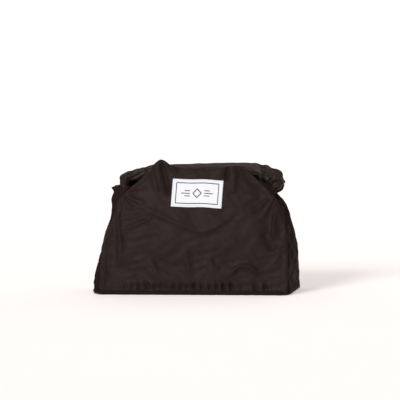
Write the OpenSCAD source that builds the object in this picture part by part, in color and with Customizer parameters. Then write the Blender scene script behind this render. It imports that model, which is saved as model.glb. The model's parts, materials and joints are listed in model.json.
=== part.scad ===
// Drawstring pouch that opens flat: a padded base, two panels that fold out, and gathered sides.
// +X is the viewer's right, the front faces -Y, +Z is up, and the origin is the middle of the base.

/* [Pouch] */
// Width of the pouch over its base piping
pouch_w = 236; // [230:1:246]
// Depth between the front and the back wall at the base
pouch_d = 90; // [86:1:100]
// Height of the front and back panels
panel_h = 150; // [146:1:156]
// How far each panel leans in at its top
lean_in = 31; // [26:1:32]

/* [Fabric] */
// Thickness of the outer fabric
shell_t = 1; // [0.8:0.1:1.2]
// Thickness of the lining
lining_t = 0.8; // [0.6:0.1:1]
// Height of the folded hem on top of each panel
hem_h = 8; // [6:0.5:9]
// Thickness of the folded hem
hem_t = 3; // [2:0.5:3.5]

/* [Base] */
// Diameter of the piping round the base
piping_d = 5; // [4.5:0.1:5.4]
// Thickness of the stiff board in the base
board_t = 1.5; // [1:0.1:2]
// Thickness of the foam over the board
foam_t = 3; // [2:0.5:3.5]

/* [Label] */
// Width of the woven label
label_w = 60; // [50:1:66]
// Height of the woven label
label_h = 32; // [28:1:36]
// Sideways place of the label's middle
label_x = 6; // [-6:1:8]
// Height of the label's middle
label_z = 119; // [116:1:124]
// Tilt of the label, clockwise from the front
label_tilt = 2.5; // [0:0.5:4]

/* [Drawcord] */
// Diameter of the cord
cord_d = 2.5; // [2:0.1:2.6]
// Travel of the cord lock's plunger
lock_travel = 3.5; // [2.5:0.5:3.5]

/* [Inner pocket] */
// Width of the zipped pocket
pocket_w = 160; // [150:2:164]
// Height above the base at which the zip runs
zip_z = 98; // [90:1:100]
// Travel of the zip's slider
zip_travel = 130; // [100:5:130]

/* [Hidden] */
$fn = 48;

shell_colour = "#33292a";
lining_colour = "#5a4f4d";
trim_colour = "#241c1b";
metal_colour = "#9a9a9c";

sides = [-1, 1];
gap = 0.4;                        // clearance between neighbouring pieces
wall_z = piping_d + 0.3;          // where the walls start, just above the piping
base_panel_t = 1.2;
base_lining_t = 1;
board_z = base_panel_t;
foam_z = board_z + board_t;
base_lining_z = foam_z + foam_t;
inner_z = base_lining_z + base_lining_t;
piping_r = piping_d / 2;
piping_corner_r = 8;
piping_half = [pouch_w / 2 - piping_r, pouch_d / 2 - 1];
base_half = [piping_half[0] - piping_r - 0.3, piping_half[1] - piping_r - 0.3];
base_corner_r = piping_corner_r - piping_r - 0.3;
lining_depth = shell_t + gap;     // how deep the lining lies behind the outer face
lining_inset = 4;                 // how far the lining stops short of a panel's side edge

// Half-widths up the pouch, as [height, half-width] pairs.
cord_z = 121;                     // the line along which the cord gathers the sides
panel_base_half = pouch_w / 2 - 5;
front_top_half = 47;
shoulder_power = 3.6;
back_half_steps = [[0, panel_base_half], [60, panel_base_half - 1], [90, 107], [110, 100],
    [cord_z, 92], [131, 96], [140, 94], [148, 84], [panel_h + hem_h, 62]];
side_half_steps = [[0, pouch_w / 2 - 1.5], [20, pouch_w / 2 - 0.5], [50, pouch_w / 2 - 1],
    [75, pouch_w / 2 - 3], [95, 111], [110, 105], [cord_z, 97], [131, 103], [140, 104], [148, 98], [160, 80]];
side_rows = [wall_z, 20, 35, 50, 65, 80, 95, 105, 113, cord_z, 126, 131, 140, panel_h - 4];
side_steps = 14;
panel_rows = 16;
panel_steps = 14;
lean_power = 1.6;
front_wrap = 4;                   // how far a panel's side edges turn in towards the gathers
back_wrap = 6;
wrap_power = 6;
wrap_full_z = 40;                 // height above which the front's side edges turn in fully
side_gap = 2.2;                   // clearance between a side and the panels next to it
bulge_power = 0.7;

label_t = 0.5;
label_seam = 2;                   // distance of the stitch line from the label's edge
stitch_l = 2.4;
stitch_pitch = 4;
stitch_t = 0.4;

snap_r = 7;
snap_t = 1.6;
snap_z = 138;

lock_x = 57;
lock_w = 14;
lock_d = 13.5;
lock_h = 20;
lock_low = cord_z - 13;
lock_floor = 2;
lock_bore_r = 5.05;
lock_corner_r = 3;
plunger_r = 5;
plunger_low = cord_z - 4;
plunger_high = lock_low + lock_h + 5;
plunger_slot_w = 6.2;
cord_gap = 1.4;                   // half the distance between the two strands in the lock
cord_hole_r = 3.1;
spring_wire_r = 0.35;
spring_r = 3.6;
spring_turns = 4;
spring_steps = 14;                // rings in each turn

casing_x = 87.6;
casing_r = 3.2;
casing_bore_r = 1.9;
casing_l = 18;
tail_x = 38;
// Half of the right cord's route, from its tail through the lock to the middle of its casing.
cord_half_route = [[tail_x, -cord_gap], [44, -cord_gap], [lock_x, -cord_gap], [66, -1.8], [71, -4.4],
    [75, -9.2], [79, -13.6], [83.6, -14.6], [87, -12], [casing_x, -8], [casing_x, -4], [casing_x, 0]];
cord_parts = 3;                   // rings between two points of the route
cord_sides = 8;

pocket_low = 24;
pocket_depth = 5;
pocket_t = 0.8;
tape_t = 0.6;
tape_h = 4.6;
tape_gap = 1.5;                   // from the zip's middle line to the tape's edge
coil_r = 0.55;
coil_gap = 0.95;                  // from the zip's middle line to each coil's axis
coil_depth = 5.3;
coil_half = pocket_w / 2 - 4;
stop_size = [2, 3.6, 1.8];
slider_rest_x = zip_travel / 2;
slider_w = 8;
slider_h = 7;
slider_plate_t = 0.8;
slider_gap = 1.1;                 // from the coils' plane to each plate
slider_web_t = 0.4;
bail_r = 0.6;
bail_height = 2;
bail_half = 2.8;
pull_eye_r = 1.3;
pull_bore_r = 0.68;
pull_w = 5;
pull_l = 22;
pull_t = 1.2;

function lean(z) = lean_in * pow(max(z, 0) / (panel_h + hem_h), lean_power);
function front_half(z) =
    front_top_half + (panel_base_half - front_top_half) * (1 - pow(z / (panel_h + hem_h), shoulder_power));
function back_half(z) = lookup(z, back_half_steps);
function side_half(z) = lookup(z, side_half_steps);

// Points of the outer faces. across runs from -1 to 1 on a panel, and from 0, at the front, to 1 round a side.
function front_at(across, z) = [
    across * front_half(z),
    lean(z) - pouch_d / 2 + front_wrap * pow(abs(across), wrap_power) * min(z / wrap_full_z, 1),
    z];
function back_at(across, z) = [
    across * back_half(z),
    pouch_d / 2 - lean(z) - back_wrap * pow(abs(across), wrap_power) * z / panel_h,
    z];
function side_at(across, z) =
    let (
        front = front_at(1, z) + [side_gap, 0, 0],
        back = back_at(1, z) + [side_gap, 0, 0],
        bulge = side_half(z) - max(front[0], back[0]))
    [
        front[0] + (back[0] - front[0]) * across + bulge * pow(sin(180 * across), bulge_power),
        front[1] + (back[1] - front[1]) * (1 - cos(180 * across)) / 2,
        z];

function unit(v) = v / norm(v);
function flipped(p, side) = [side * p[0], p[1], p[2]];

// Outward normals, from points a little way along each face.
near = 0.02;
function front_normal(across, z) = unit(cross(
    front_at(across + near, z) - front_at(across - near, z), front_at(across, z + 1) - front_at(across, z - 1)));
function back_normal(across, z) = -unit(cross(
    back_at(across + near, z) - back_at(across - near, z), back_at(across, z + 1) - back_at(across, z - 1)));
function side_normal(across, z) =
    let (a = min(max(across, near), 1 - near))
    unit(cross(side_at(a + near, z) - side_at(a - near, z), side_at(a, z + 1) - side_at(a, z - 1)));

function front_deep(across, z, depth) = front_at(across, z) - depth * front_normal(across, z);
function back_deep(across, z, depth) = back_at(across, z) - depth * back_normal(across, z);
function side_deep(across, z, depth) = side_at(across, z) - depth * side_normal(across, z);

// A closed sheet between two grids of points, each a list of rows.
module sheet(outer, inner) {
    rows = len(outer);
    columns = len(outer[0]);
    count = rows * columns;
    function corner(r, c) = r * columns + c;
    skin = [for (r = [0:rows - 2], c = [0:columns - 2]) each [
        [corner(r, c), corner(r + 1, c), corner(r + 1, c + 1)],
        [corner(r, c), corner(r + 1, c + 1), corner(r, c + 1)]]];
    rim = concat(
        [for (c = [0:columns - 1]) corner(0, c)],
        [for (r = [1:rows - 1]) corner(r, columns - 1)],
        [for (c = [columns - 2:-1:0]) corner(rows - 1, c)],
        [for (r = [rows - 2:-1:1]) corner(r, 0)]);
    edge = [for (i = [0:len(rim) - 1])
        let (a = rim[i], b = rim[(i + 1) % len(rim)])
        each [[a, b, b + count], [a, b + count, a + count]]];
    polyhedron(
        points = concat([for (row = outer) each row], [for (row = inner) each row]),
        faces = concat(skin, [for (f = skin) [f[2] + count, f[1] + count, f[0] + count]], edge));
}

// A solid tube along a list of points.
module tube(route, radius, faces) {
    last = len(route) - 1;
    function heading(i) = unit(route[min(i + 1, last)] - route[max(i - 1, 0)]);
    function ring(i) =
        let (ahead = heading(i), up = unit([0.01, 0, 1] - ahead * (ahead * [0.01, 0, 1])), across = cross(ahead, up))
        [for (k = [0:faces - 1]) route[i] + radius * (cos(360 * k / faces) * up + sin(360 * k / faces) * across)];
    points = [for (i = [0:last]) each ring(i)];
    walls = [for (i = [0:last - 1], k = [0:faces - 1])
        let (a = i * faces + k, b = i * faces + (k + 1) % faces)
        each [[a, b, b + faces], [a, b + faces, a + faces]]];
    ends = [[for (k = [faces - 1:-1:0]) k], [for (k = [0:faces - 1]) last * faces + k]];
    polyhedron(points = points, faces = concat(walls, ends));
}

// Catmull-Rom curve through the points, with some parts between each two.
function smooth(points, parts) =
    let (last = len(points) - 1)
    concat(
        [for (i = [0:last - 1], k = [0:parts - 1])
            let (
                a = points[max(i - 1, 0)], b = points[i], c = points[i + 1], d = points[min(i + 2, last)],
                t = k / parts)
            (2 * b + (c - a) * t + (2 * a - 5 * b + 4 * c - d) * t * t + (3 * b - a - 3 * c + d) * t * t * t) / 2],
        [points[last]]);

function steps(low, high, count) = [for (i = [0:count]) low + (high - low) * i / count];

module rounded_plate(half, corner_r, thickness) {
    linear_extrude(thickness) {
        square([2 * half[0], 2 * (half[1] - corner_r)], center = true);
        square([2 * (half[0] - corner_r), 2 * half[1]], center = true);
        for (x = sides, y = sides)
            translate([x * (half[0] - corner_r), y * (half[1] - corner_r)]) circle(corner_r);
    }
}

module base_panel() {
    color(shell_colour) rounded_plate(base_half, base_corner_r, base_panel_t);
}

module base_board() {
    color("#8a8378") translate([0, 0, board_z]) rounded_plate(base_half, base_corner_r, board_t);
}

module base_foam() {
    color("#c9c4bb") translate([0, 0, foam_z]) rounded_plate(base_half, base_corner_r, foam_t);
}

module base_lining() {
    color(lining_colour) translate([0, 0, base_lining_z]) rounded_plate(base_half, base_corner_r, base_lining_t);
}

// The piping is a tube round the base, with quarter turns at its corners.
module base_piping() {
    straight = [piping_half[0] - piping_corner_r, piping_half[1] - piping_corner_r];
    color(trim_colour) translate([0, 0, piping_r]) {
        for (y = sides)
            translate([0, y * piping_half[1], 0]) rotate([0, 90, 0])
                cylinder(r = piping_r, h = 2 * straight[0], center = true);
        for (x = sides)
            translate([x * piping_half[0], 0, 0]) rotate([90, 0, 0])
                cylinder(r = piping_r, h = 2 * straight[1], center = true);
        for (turn = [0:3])
            translate([(turn == 0 || turn == 3 ? 1 : -1) * straight[0], (turn < 2 ? 1 : -1) * straight[1], 0])
                rotate(90 * turn)
                    rotate_extrude(angle = 90) translate([piping_corner_r, 0]) circle(piping_r);
    }
}

// A side, from the front panel's edge round to the back panel's, between two depths behind its outer face.
module side_wall(side, outer_depth, inner_depth, margin, rows) {
    across = steps(margin, 1 - margin, side_steps);
    outer = [for (z = rows) [for (a = across) flipped(side_deep(a, z, outer_depth), side)]];
    inner = [for (z = rows) [for (a = across) flipped(side_deep(a, z, inner_depth), side)]];
    if (side > 0) sheet(outer, inner);
    else sheet(inner, outer);
}

module side_panel(side) {
    color(shell_colour) side_wall(side, 0, shell_t, 0, side_rows);
}

module side_lining(side) {
    rows = concat([inner_z + gap], [for (i = [1:len(side_rows) - 1]) side_rows[i]]);
    color(lining_colour) side_wall(side, lining_depth, lining_depth + lining_t, 0.06, rows);
}

module cord_casing(side) {
    color(lining_colour) translate([side * casing_x, 0, cord_z]) rotate([90, 0, 0])
        difference() {
            cylinder(r = casing_r, h = casing_l, center = true);
            cylinder(r = casing_bore_r, h = casing_l + 2, center = true);
        }
}

module drawcord(side) {
    half = [for (p = cord_half_route) [side * p[0], p[1], cord_z]];
    back = [for (i = [len(half) - 2:-1:0]) [half[i][0], -half[i][1], cord_z]];
    color(trim_colour) tube(smooth(concat(half, back), cord_parts), cord_d / 2, cord_sides);
}

// The barrel of a cord lock: a blind bore for the plunger, crossed by the hole for both strands.
module lock_barrel(side) {
    color("#1c1c1d") translate([side * lock_x, 0, lock_low])
        difference() {
            rounded_plate([lock_w / 2, lock_d / 2], lock_corner_r, lock_h);
            translate([0, 0, lock_floor]) cylinder(r = lock_bore_r, h = lock_h);
            translate([0, 0, cord_z - lock_low]) rotate([0, 90, 0])
                cylinder(r = cord_hole_r, h = lock_w + 2, center = true);
        }
}

// The slot in the plunger is as much taller than the cord as the plunger travels.
module lock_plunger(side) {
    slot_low = cord_z - cord_d / 2 - 0.1;
    slot_h = cord_d + 0.3 + lock_travel;
    color("#2a2a2b") translate([side * lock_x, 0, 0])
        difference() {
            translate([0, 0, plunger_low]) cylinder(r = plunger_r, h = plunger_high - plunger_low);
            translate([-plunger_r - 1, -plunger_slot_w / 2, slot_low])
                cube([2 * plunger_r + 2, plunger_slot_w, slot_h]);
        }
}

module lock_spring(side) {
    low = lock_low + lock_floor + spring_wire_r + 0.05;
    high = plunger_low - spring_wire_r - 0.05;
    count = spring_turns * spring_steps;
    route = [for (i = [0:count])
        let (turn = 360 * i / spring_steps)
        [side * lock_x + spring_r * cos(turn), spring_r * sin(turn), low + (high - low) * i / count]];
    color(metal_colour) tube(route, spring_wire_r, 6);
}

// A stretch of the front panel, or of the back panel, between two depths behind its outer face.
module front_sheet(low, high, outer_depth, inner_depth, inset) {
    rows = steps(low, high, panel_rows);
    function reach(z) = 1 - inset / front_half(z);
    outer = [for (z = rows) [for (a = steps(-reach(z), reach(z), panel_steps)) front_deep(a, z, outer_depth)]];
    inner = [for (z = rows) [for (a = steps(-reach(z), reach(z), panel_steps)) front_deep(a, z, inner_depth)]];
    sheet(outer, inner);
}

module back_sheet(low, high, outer_depth, inner_depth, reach_of) {
    rows = steps(low, high, panel_rows);
    outer = [for (z = rows) [for (a = steps(-1, 1, panel_steps)) back_deep(a * reach_of(z), z, outer_depth)]];
    inner = [for (z = rows) [for (a = steps(-1, 1, panel_steps)) back_deep(a * reach_of(z), z, inner_depth)]];
    sheet(inner, outer);
}

module front_panel() {
    color(shell_colour) front_sheet(wall_z, panel_h, 0, shell_t, 0);
}

module front_lining() {
    color(lining_colour)
        front_sheet(inner_z + gap, panel_h, lining_depth, lining_depth + lining_t, lining_inset);
}

module front_hem() {
    color(shell_colour) front_sheet(panel_h + 0.6, panel_h + hem_h, 0, hem_t, 2);
}

module back_panel() {
    color(shell_colour) back_sheet(wall_z, panel_h, 0, shell_t, function (z) 1);
}

module back_lining() {
    color(lining_colour) back_sheet(inner_z + gap, panel_h, lining_depth, lining_depth + lining_t,
        function (z) 1 - lining_inset / back_half(z));
}

module back_hem() {
    color(shell_colour)
        back_sheet(panel_h + 0.6, panel_h + hem_h, 0, hem_t, function (z) 1 - 2 / back_half(z));
}

snap_depth = lining_depth + lining_t + 0.3 + snap_t / 2;

module front_snap() {
    color(metal_colour)
        translate(front_deep(0, snap_z, snap_depth)) rotate([90 - front_tilt(snap_z), 0, 0])
            cylinder(r = snap_r, h = snap_t, center = true);
}

module back_snap() {
    color(metal_colour)
        translate(back_deep(0, snap_z, snap_depth)) rotate([90 + front_tilt(snap_z), 0, 0])
            cylinder(r = snap_r, h = snap_t, center = true);
}

// How far each panel leans at a height, from the vertical.
function front_tilt(z) = atan(lean(z + 0.5) - lean(z - 0.5));

// A point of the label, from its middle, in the plane of the tilted label.
function label_at(right, up, depth) =
    let (
        x = label_x + right * cos(label_tilt) + up * sin(label_tilt),
        z = label_z + up * cos(label_tilt) - right * sin(label_tilt))
    front_deep(x / front_half(z), z, depth);

module label() {
    rows = steps(-label_h / 2, label_h / 2, 8);
    columns = steps(-label_w / 2, label_w / 2, 12);
    color("#f2f2ef") sheet(
        [for (up = rows) [for (right = columns) label_at(right, up, -0.2 - label_t)]],
        [for (up = rows) [for (right = columns) label_at(right, up, -0.2)]]);
}

// One stitch of thread lying on the label, level or upright.
module stitch(right, up, level) {
    size = level ? [stitch_l, stitch_t, stitch_t] : [stitch_t, stitch_t, stitch_l];
    translate(label_at(right, up, -0.25 - label_t - stitch_t)) rotate([-front_tilt(label_z), label_tilt, 0])
        cube(size, center = true);
}

module label_stitches() {
    half_w = label_w / 2 - label_seam;
    half_h = label_h / 2 - label_seam;
    color("#d9d9d4") {
        for (right = [-half_w + stitch_pitch / 2:stitch_pitch:half_w - stitch_l / 2], up = [-half_h, half_h])
            stitch(right, up, true);
        for (up = [-half_h + stitch_pitch / 2:stitch_pitch:half_h - stitch_l / 2], right = [-half_w, half_w])
            stitch(right, up, false);
    }
}

// The zipped pocket lies along the back lining. Its rigid parts are placed from the panel's middle.
function pocket_reach(z) = pocket_w / 2 / back_half(z);
zip_tilt = front_tilt(zip_z);

module along_zip(depth) {
    translate(back_deep(0, zip_z, depth)) rotate([zip_tilt, 0, 0]) children();
}

module zip_pocket() {
    color(lining_colour) back_sheet(pocket_low, zip_z - tape_gap - tape_h - gap, pocket_depth,
        pocket_depth + pocket_t, function (z) pocket_reach(z));
}

module zip_tape(low, high) {
    color(trim_colour)
        back_sheet(low, high, pocket_depth, pocket_depth + tape_t, function (z) pocket_reach(z));
}

module zip_coil(up) {
    color("#3a3a3c") along_zip(coil_depth) translate([0, 0, up * coil_gap]) rotate([0, 90, 0])
        cylinder(r = coil_r, h = 2 * coil_half, center = true);
}

module zip_stops() {
    color(metal_colour) along_zip(coil_depth)
        for (x = sides) translate([x * (coil_half + 0.1 + stop_size[0] / 2), 0, 0])
            cube([stop_size[0], stop_size[2], stop_size[1] - 0.9], center = true);
}

// Two plates round the coils, joined by a thin web between them, and a bail that holds the pull.
module zip_slider() {
    plate_y = slider_gap + slider_plate_t / 2;
    bail_y = -(slider_gap + slider_plate_t + bail_height);
    color(metal_colour) along_zip(coil_depth) translate([slider_rest_x, 0, 0]) {
        for (y = sides) translate([0, y * plate_y, 0])
            cube([slider_w, slider_plate_t, slider_h], center = true);
        cube([slider_w - 3, 2 * slider_gap + 0.2, slider_web_t], center = true);
        for (x = sides) translate([x * bail_half - bail_r, bail_y - bail_r, -bail_r])
            cube([2 * bail_r, bail_height + 2 * bail_r, 2 * bail_r]);
        translate([0, bail_y, 0]) rotate([0, 90, 0]) cylinder(r = bail_r, h = 2 * bail_half, center = true);
    }
}

bail_depth = coil_depth + slider_gap + slider_plate_t + bail_height;

module zip_pull() {
    eye_w = 2 * (bail_half - bail_r) - 0.6;
    color(metal_colour) translate(back_deep(0, zip_z, bail_depth) + [slider_rest_x, 0, 0])
        difference() {
            union() {
                rotate([0, 90, 0]) cylinder(r = pull_eye_r, h = eye_w, center = true);
                translate([-eye_w / 2, -pull_t / 2, -pull_eye_r - 3]) cube([eye_w, pull_t, pull_eye_r + 3]);
                translate([-pull_w / 2, -pull_t / 2, -pull_l]) cube([pull_w, pull_t, pull_l - pull_eye_r - 2]);
            }
            rotate([0, 90, 0]) cylinder(r = pull_bore_r, h = eye_w + 2, center = true);
        }
}

base_panel();
base_board();
base_foam();
base_lining();
base_piping();
side_panel(-1);  // left_side_panel
side_panel(1);  // right_side_panel
side_lining(-1);  // left_side_lining
side_lining(1);  // right_side_lining
cord_casing(-1);  // left_cord_casing
cord_casing(1);  // right_cord_casing
drawcord(-1);  // left_drawcord
drawcord(1);  // right_drawcord
lock_barrel(-1);  // left_lock_barrel
lock_barrel(1);  // right_lock_barrel
lock_plunger(-1);  // left_lock_plunger
lock_plunger(1);  // right_lock_plunger
lock_spring(-1);  // left_lock_spring
lock_spring(1);  // right_lock_spring
front_panel();
front_lining();
front_hem();
front_snap();
label();
label_stitches();
back_panel();
back_lining();
back_hem();
back_snap();
zip_pocket();
zip_tape(zip_z + tape_gap, zip_z + tape_gap + tape_h);  // zip_tape_upper
zip_tape(zip_z - tape_gap - tape_h, zip_z - tape_gap);  // zip_tape_lower
zip_coil(1);  // zip_coil_upper
zip_coil(-1);  // zip_coil_lower
zip_stops();
zip_slider();
zip_pull();
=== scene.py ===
"""Looks of the drawstring pouch: every visible piece, its fabric, the light and the camera.

Shapes are worked out in millimetres in the frame's own axes and stored in metres.
"""
import json
import math

import bpy
import numpy as np
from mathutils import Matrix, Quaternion, Vector

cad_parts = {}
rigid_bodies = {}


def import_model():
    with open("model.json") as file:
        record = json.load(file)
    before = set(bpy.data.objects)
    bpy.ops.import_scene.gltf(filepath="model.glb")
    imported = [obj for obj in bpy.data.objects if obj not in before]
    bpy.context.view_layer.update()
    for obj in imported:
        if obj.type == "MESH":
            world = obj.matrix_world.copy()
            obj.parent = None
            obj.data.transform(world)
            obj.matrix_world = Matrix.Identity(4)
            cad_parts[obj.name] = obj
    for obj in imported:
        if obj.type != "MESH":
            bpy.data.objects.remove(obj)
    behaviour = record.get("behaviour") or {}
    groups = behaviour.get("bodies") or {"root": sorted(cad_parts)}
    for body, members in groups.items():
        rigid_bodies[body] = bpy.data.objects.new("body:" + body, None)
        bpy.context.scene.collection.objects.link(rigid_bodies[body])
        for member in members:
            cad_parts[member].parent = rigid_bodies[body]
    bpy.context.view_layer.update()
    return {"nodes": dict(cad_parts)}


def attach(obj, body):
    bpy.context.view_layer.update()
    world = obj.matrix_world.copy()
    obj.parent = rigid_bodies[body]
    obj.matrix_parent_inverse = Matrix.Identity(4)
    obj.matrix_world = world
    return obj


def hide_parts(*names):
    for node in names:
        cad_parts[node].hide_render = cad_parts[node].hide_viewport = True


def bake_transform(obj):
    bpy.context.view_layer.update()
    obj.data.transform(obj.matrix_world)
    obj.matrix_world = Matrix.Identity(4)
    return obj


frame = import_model()

MM = 0.001
BODY, FRONT, BACK = "bag_body", "front_flap", "back_flap"

# ---------------- sizes, in millimetres
DEPTH = 90  # between the front and the back wall at the base
TOP_Z = 158  # height over the panels' hems
LEAN_IN, LEAN_POWER = 31, 1.6
WALL_Z = 1.2  # where the walls start, behind the piping
PANEL_TOP = 150  # height of the front panel's top edge, before its own rise and dip
BACK_TOP = 145.5
CORD_Z = 121  # the line along which the cord gathers the sides
FABRIC_T = 1.0
LINING_T = 0.7
LINING_DEPTH = 1.9  # how far a lining lies behind the outer face
LINING_LOW = 7  # where a lining starts, on the base pad

# Side outlines of the panels, as (height, x) pairs.
FRONT_LEFT = ((0, -109), (30, -108.5), (50, -107), (75, -101), (99, -91.5), (113, -88), (121, -82),
              (130, -71.5), (138, -62), (146, -54), (PANEL_TOP, -50))
FRONT_RIGHT = ((0, 116), (30, 116), (50, 115.6), (75, 113.6), (96, 108.6), (110, 101.5), (121, 93),
               (134, 78.6), (145, 65.6), (PANEL_TOP, 58))
BACK_LEFT = ((0, -115), (40, -113), (75, -107), (100, -100), (CORD_Z, -90), (131, -88), (139, -80),
             (BACK_TOP, -64))
BACK_RIGHT = ((0, 116), (40, 116), (75, 112), (100, 104), (CORD_Z, 91), (131, 94), (139, 88),
              (BACK_TOP, 74))
SIDE_LEFT = ((0, -117.5), (19, -117.5), (37, -113.8), (54, -110.2), (70, -106.4), (80, -103.8),
             (92, -100.4), (105, -98.8), (112, -99.2), (119, -98.8), (128, -98), (140, -93.5))
SIDE_RIGHT = ((0, 118.5), (20, 118), (40, 118.6), (65, 116.4), (81, 112.6), (99, 108), (109, 103),
              (117, 96), (123, 98), (130, 101), (140, 98))
# Height of the front panel's top edge, as (x, height) pairs: a folded peak, then a dip.
FRONT_TOP = ((-62, 146.5), (-50, 149.4), (-44.5, 154.4), (-40, 157.4), (-35.5, 156.8), (-28.5, 152.6),
             (-20, 149.4), (-6, 147.2), (10, 146.6), (26, 147.2), (40, 149), (52, 150.2), (64, 148))


def curve(table):
    """A smooth function through (position, value) pairs: cubic pieces with Catmull-Rom slopes."""
    at, value = (np.array(column, float) for column in zip(*table))
    slope = np.gradient(value, at)

    def inner(x):
        x = np.clip(x, at[0], at[-1])
        i = np.clip(np.searchsorted(at, x) - 1, 0, len(at) - 2)
        wide = at[i + 1] - at[i]
        t = (x - at[i]) / wide
        return (value[i] * (2 * t**3 - 3 * t**2 + 1) + slope[i] * wide * (t**3 - 2 * t**2 + t)
                + value[i + 1] * (3 * t**2 - 2 * t**3) + slope[i + 1] * wide * (t**3 - t**2))

    return inner


front_left, front_right, front_top = curve(FRONT_LEFT), curve(FRONT_RIGHT), curve(FRONT_TOP)
back_left, back_right = curve(BACK_LEFT), curve(BACK_RIGHT)
side_left, side_right = curve(SIDE_LEFT), curve(SIDE_RIGHT)


def lean(z):
    return LEAN_IN * (np.maximum(z, 0) / TOP_Z) ** LEAN_POWER


def smoothstep(low, high, x):
    t = np.clip((x - low) / (high - low), 0, 1)
    return t * t * (3 - 2 * t)


WAVE_COUNT = 14  # waves that are added up into ripples


def ripples(x, z, wave, seed, heading=0.0, spread=3.2):
    """Soft irregular waves of about one wavelength, in millimetres, that run within spread of heading."""
    rng = np.random.default_rng(seed)
    total = np.zeros_like(x, float)
    for _ in range(WAVE_COUNT):
        angle = heading + rng.uniform(-spread, spread) / 2
        length = wave * rng.uniform(0.7, 1.5)
        turn = 2 * math.pi / length * (x * math.cos(angle) + z * math.sin(angle))
        total += np.sin(turn + rng.uniform(0, 2 * math.pi))
    return total / math.sqrt(WAVE_COUNT / 2) / 2


def along(points, parts=24):
    """A smooth line through a few points, with parts points for each stretch between them."""
    p = np.array(points, float)
    s = np.arange(len(p))
    t = np.linspace(0, len(p) - 1, parts * (len(p) - 1))
    return np.stack([curve(list(zip(s, p[:, k])))(t) for k in range(p.shape[1])], 1)


def lengths_along(line):
    """Each point's distance from a line's first point, measured along the line."""
    return np.concatenate([[0], np.cumsum(np.linalg.norm(np.diff(line, axis=0), axis=1))])


FADE_SHARE = 0.22  # share of a crease's length over which it fades in, and out again


def crease(x, z, points, width, height, step):
    """Height of a fold that follows a line over a panel: a rounded ridge, plus a step to the line's left."""
    line = along(points)
    a = line[:-1]
    d = line[1:] - a
    long = np.linalg.norm(d, axis=1)
    run = lengths_along(line)
    best = np.full(x.shape, 1e9)
    where = np.zeros(x.shape)
    side = np.zeros(x.shape)
    for i in range(len(d)):
        px, pz = x - a[i, 0], z - a[i, 1]
        t = np.clip((px * d[i, 0] + pz * d[i, 1]) / max(long[i] ** 2, 1e-9), 0, 1)
        away = np.hypot(px - t * d[i, 0], pz - t * d[i, 1])
        nearer = away < best
        best = np.where(nearer, away, best)
        where = np.where(nearer, run[i] + t * long[i], where)
        side = np.where(nearer, np.sign(d[i, 0] * pz - d[i, 1] * px), side)
    share = where / run[-1]
    ends = smoothstep(0, FADE_SHARE, share) * smoothstep(0, FADE_SHARE, 1 - share)
    ridge = np.exp(-(best / width) ** 2)
    lift = side * np.tanh(best / (0.35 * width)) * np.exp(-(best / (2.2 * width)) ** 2)
    return ends * (height * ridge + step * lift)


def creases(x, z, table):
    """All the creases of a table together."""
    return sum(crease(x, z, *row) for row in table)


# ---------------- meshes
def normals_of(grid):
    """Unit normals of a grid of points, at every point."""
    across = np.gradient(grid, axis=1)
    up = np.gradient(grid, axis=0)
    n = np.cross(across, up)
    return n / np.maximum(np.linalg.norm(n, axis=2, keepdims=True), 1e-9)


def mesh_object(name, points, faces, material):
    """A smooth-shaded object from points in millimetres."""
    mesh = bpy.data.meshes.new(name)
    mesh.from_pydata((np.asarray(points) * MM).tolist(), [], [list(map(int, f)) for f in faces])
    mesh.validate()
    mesh.shade_smooth()
    obj = bpy.data.objects.new(name, mesh)
    bpy.context.scene.collection.objects.link(obj)
    obj.data.materials.append(material)
    return obj


def quads(rows, columns, wrap=False):
    """Faces of a grid of points, whose last column meets its first one if wrap is set."""
    last = columns if wrap else columns - 1
    r, c = np.meshgrid(np.arange(rows - 1), np.arange(last), indexing="ij")
    n = (c + 1) % columns
    return np.stack([r * columns + c, r * columns + n, (r + 1) * columns + n, (r + 1) * columns + c],
                    -1).reshape(-1, 4)


def fabric(name, grid, thickness, material, flip=False):
    """A closed sheet of fabric. grid is its outer face, rows going up and columns to the viewer's right."""
    outward = normals_of(grid) * (-1 if flip else 1)
    inner = grid - outward * thickness
    rows, columns = grid.shape[:2]
    skin = quads(rows, columns)
    if flip:
        skin = skin[:, ::-1]
    count = rows * columns
    index = np.arange(count).reshape(rows, columns)
    rim = np.concatenate([index[0], index[1:, -1], index[-1, -2::-1], index[-2:0:-1, 0]])
    after = np.roll(rim, -1)
    edge = np.stack([rim, rim + count, after + count, after], 1)
    if flip:
        edge = edge[:, ::-1]
    points = np.concatenate([grid.reshape(-1, 3), inner.reshape(-1, 3)])
    return mesh_object(name, points, np.concatenate([skin, skin[:, ::-1] + count, edge]), material)


NEARLY_UP = np.array([0.013, 0.007, 1.0])  # no tube here runs along this way


def rings_of(line, offsets, closed=False):
    """Rings of points round a line. offsets holds each point's distances sideways and up from the line."""
    line = np.array(line, float)
    ahead = (np.roll(line, -1, 0) - np.roll(line, 1, 0)) if closed else np.gradient(line, axis=0)
    ahead /= np.linalg.norm(ahead, axis=1, keepdims=True)
    side = np.cross(ahead, NEARLY_UP)
    side /= np.maximum(np.linalg.norm(side, axis=1, keepdims=True), 1e-9)
    up = np.cross(side, ahead)
    return line[:, None] + side[:, None] * offsets[..., :1] + up[:, None] * offsets[..., 1:]


def tube(name, rings, material, closed=False):
    """A tube through rings of points, with flat ends, or with its last ring joined to its first one."""
    count, sides = rings.shape[:2]
    faces = [tuple(f) for f in quads(count, sides, wrap=True)[:, ::-1]]
    last = (count - 1) * sides
    if closed:
        faces += [(k, (k + 1) % sides, last + (k + 1) % sides, last + k) for k in range(sides)]
    else:
        faces += [tuple(range(sides)), tuple(last + k for k in range(sides))[::-1]]
    return mesh_object(name, rings.reshape(-1, 3), faces, material)


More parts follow.
